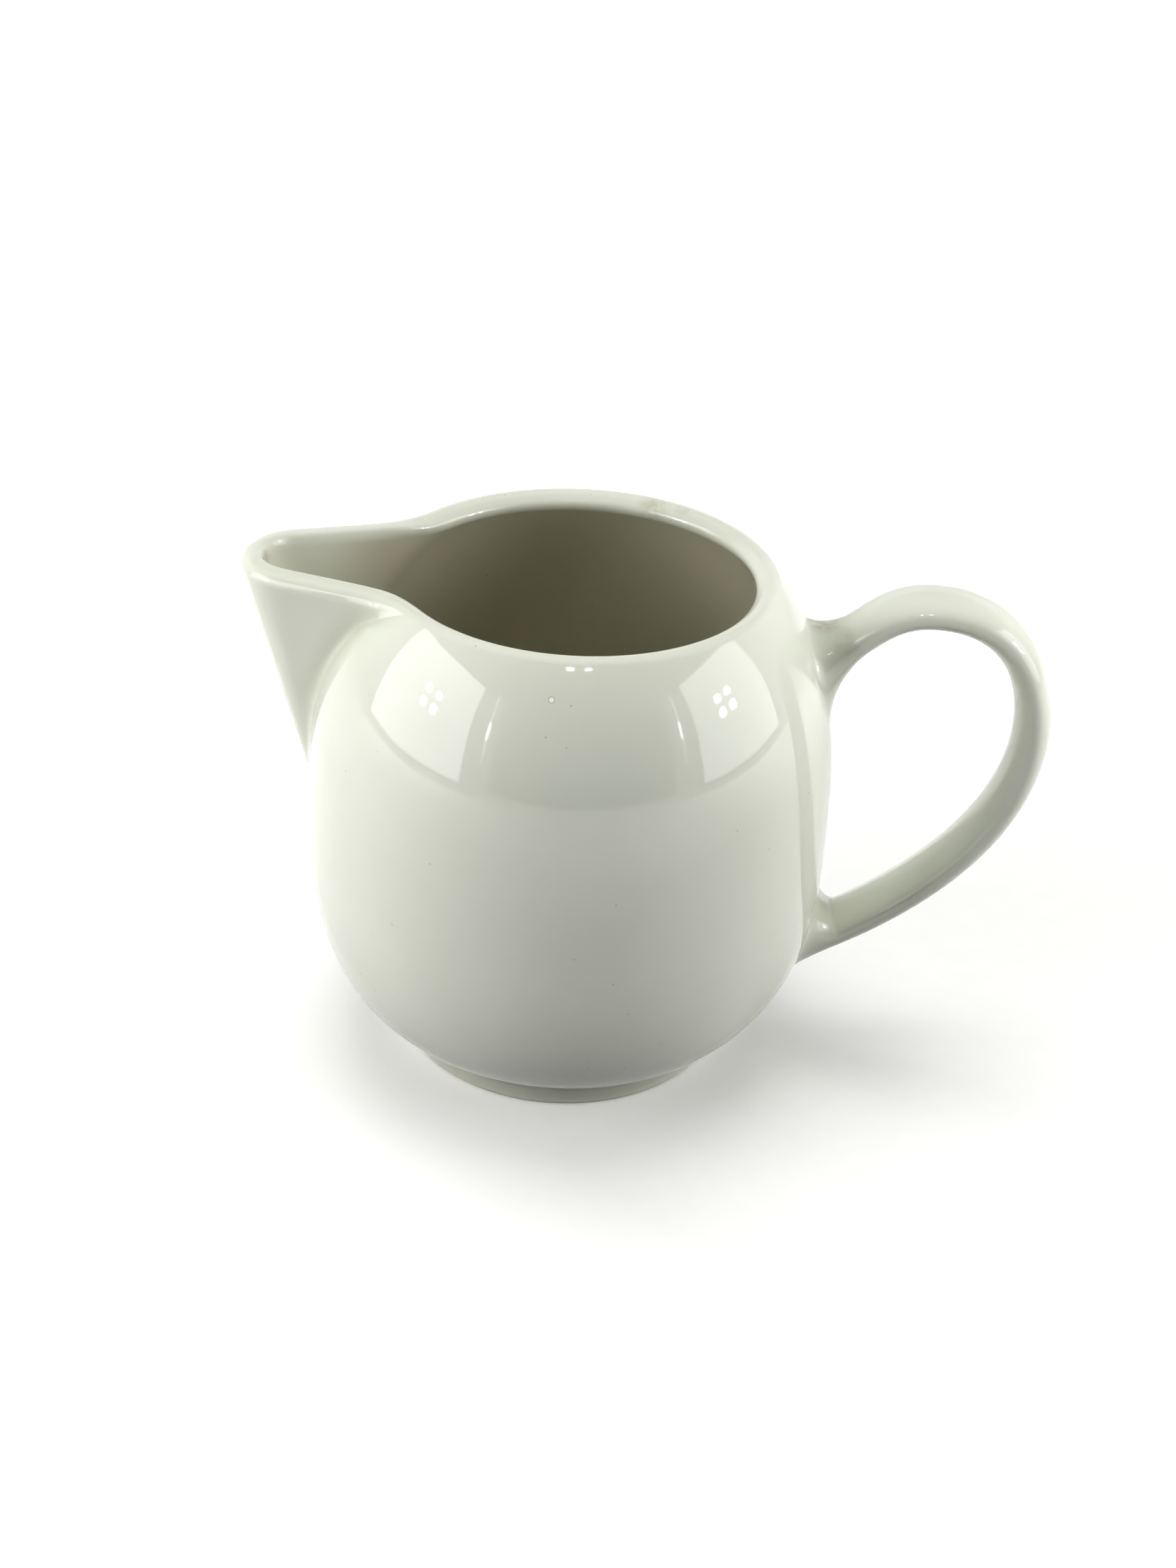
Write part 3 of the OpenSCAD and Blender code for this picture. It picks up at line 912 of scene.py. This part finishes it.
# A flat light that faces the jug. Bearing 0 is the side the camera looks from, 90 the handle's side.
def addLight(name, bearing, distance, height, width, tall, radiance, aim):
    lamp = bpy.data.lights.new(name, "AREA")
    lamp.shape = "RECTANGLE"
    lamp.size, lamp.size_y = width, tall
    lamp.energy = radiance * math.pi * width * tall
    holder = bpy.data.objects.new(name, lamp)
    where = placeAt(bearing, distance, height)
    holder.location = where
    holder.rotation_euler = (Vector((0, 0, aim)) - where).to_track_quat("-Z", "Y").to_euler()
    holder.visible_camera = False
    holder.visible_glossy = False  # what the glaze shows of it is a card of its own
    bpy.context.scene.collection.objects.link(holder)


# A glowing card with soft edges. It shows in the glaze and lights nothing.
def addCard(name, bearing, distance, height, width, tall, radiance, edge=0.1, colour="#ffffff", aim=None):
    w, t = width / 2, tall / 2
    card = plainMesh(name, [(-w, 0, -t), (w, 0, -t), (w, 0, t), (-w, 0, t)], [(0, 1, 2, 3)])
    where = placeAt(bearing, distance, height)
    card.location = where
    towards = Vector((0, 0, height if aim is None else aim)) - where
    card.rotation_euler = towards.to_track_quat("Y", "Z").to_euler()
    material = bpy.data.materials.new(name)
    material.use_nodes = True
    tree = material.node_tree
    tree.nodes.clear()
    output = addNode(tree, "ShaderNodeOutputMaterial")
    place = addNode(tree, "ShaderNodeTexCoord").outputs["Object"]
    axes = addNode(tree, "ShaderNodeSeparateXYZ", links={0: place})
    strength = radiance
    for axis, reach in (("X", w), ("Z", t)):
        fromMiddle = addMath(tree, "ABSOLUTE", axes.outputs[axis], 0.0)
        settings = {"interpolation_type": "SMOOTHSTEP", "From Min": reach, "From Max": reach * (1 - 2 * edge)}
        fade = addNode(tree, "ShaderNodeMapRange", settings, {"Value": fromMiddle})
        strength = addMath(tree, "MULTIPLY", strength, fade.outputs[0])
    glow = addNode(tree, "ShaderNodeEmission", {"Color": linearColour(colour)}, {"Strength": strength})
    tree.links.new(glow.outputs[0], output.inputs[0])
    card.data.materials.append(material)
    card.visible_camera = card.visible_diffuse = card.visible_shadow = False


# `shown` is the card that the glaze mirrors: bearing, height, width, tall and radiance. `lamps` is where the
# middle of its four lamps is: bearing and height.
softboxes = [
    {"name": "leftSoftbox", "bearing": -68, "light": 5.6,
     "shown": (-69, 0.24, 0.54, 0.44, 4.6), "lamps": (-66.0, 0.222)},
    {"name": "rightSoftbox", "bearing": 80, "light": 4.9,
     "shown": (79, 0.24, 0.44, 0.44, 3.7), "lamps": (75.7, 0.230)},
]
for box in softboxes:
    addLight(box["name"], box["bearing"], 0.55, 0.215, 0.50, 0.40, box["light"], aim=0.215)
    bearing, height, width, tall, radiance = box["shown"]
    addCard(box["name"] + "Card", bearing, 0.55, height, width, tall, radiance, 0.03)
    for number, (across, up) in enumerate(((-1, -1), (1, -1), (-1, 1), (1, 1))):
        bearing, height = box["lamps"][0] + 3.1 * across, box["lamps"][1] + 0.028 * up
        addCard(f"{box['name']}Lamp{number}", bearing, 0.52, height, 0.040, 0.040, 70, 0.35)
addLight("topSoftbox", 180, 0.35, 1.3, 1.0, 1.0, 4.1, aim=0.0)
addCard("darkRoomCard", 7, 0.45, 0.276, 0.70, 0.49, 0.13, 0.008, colour="#d8e4ee")
for name, bearing in (("leftStreak", -34.8), ("rightStreak", 50.3)):
    addCard(name, bearing, 0.44, 0.22, 0.012, 0.30, 3.0, 0.2)
    addCard(name + "Core", bearing, 0.43, 0.195, 0.012, 0.08, 16.0, 0.3)
for name, bearing in (("ceilingLampA", -1.5), ("ceilingLampB", 10.4)):
    addCard(name, bearing, 0.55, 0.785, 0.058, 0.034, 40.0, 0.3, aim=0.088)
for number in range(8):
    addCard(f"roomWall{number}", 45 * number, 2.2, 0.7, 1.9, 1.4, 0.9, 0.01)

cameraPlace = {
    "target": Vector((3.11, 0, 47.84)) * mm,
    "distance": 400 * mm,
    "bearing": 1.2,
    "height": 30.96,
    "roll": 2.9,
    "lens": 52.965,
}
bearing, height, roll = (math.radians(cameraPlace[key]) for key in ("bearing", "height", "roll"))
back = Vector((math.sin(bearing) * math.cos(height), -math.cos(bearing) * math.cos(height), math.sin(height)))
right = Vector((math.cos(bearing), math.sin(bearing), 0))
up = back.cross(right)
rolledRight = right * math.cos(roll) + up * math.sin(roll)
rolledUp = up * math.cos(roll) - right * math.sin(roll)
cameraData = bpy.data.cameras.new("studioCamera")
cameraData.lens = cameraPlace["lens"]
cameraData.sensor_width = 36
cameraData.clip_start = 0.02
camera = bpy.data.objects.new("studioCamera", cameraData)
axes = Matrix((rolledRight, rolledUp, back)).transposed().to_4x4()
camera.matrix_world = Matrix.Translation(cameraPlace["target"] + back * cameraPlace["distance"]) @ axes
bpy.context.scene.collection.objects.link(camera)
bpy.context.scene.camera = camera
bpy.context.scene.view_settings.view_transform = "Standard"
bpy.context.scene.view_settings.exposure = studio["exposure"]
print("studio set")
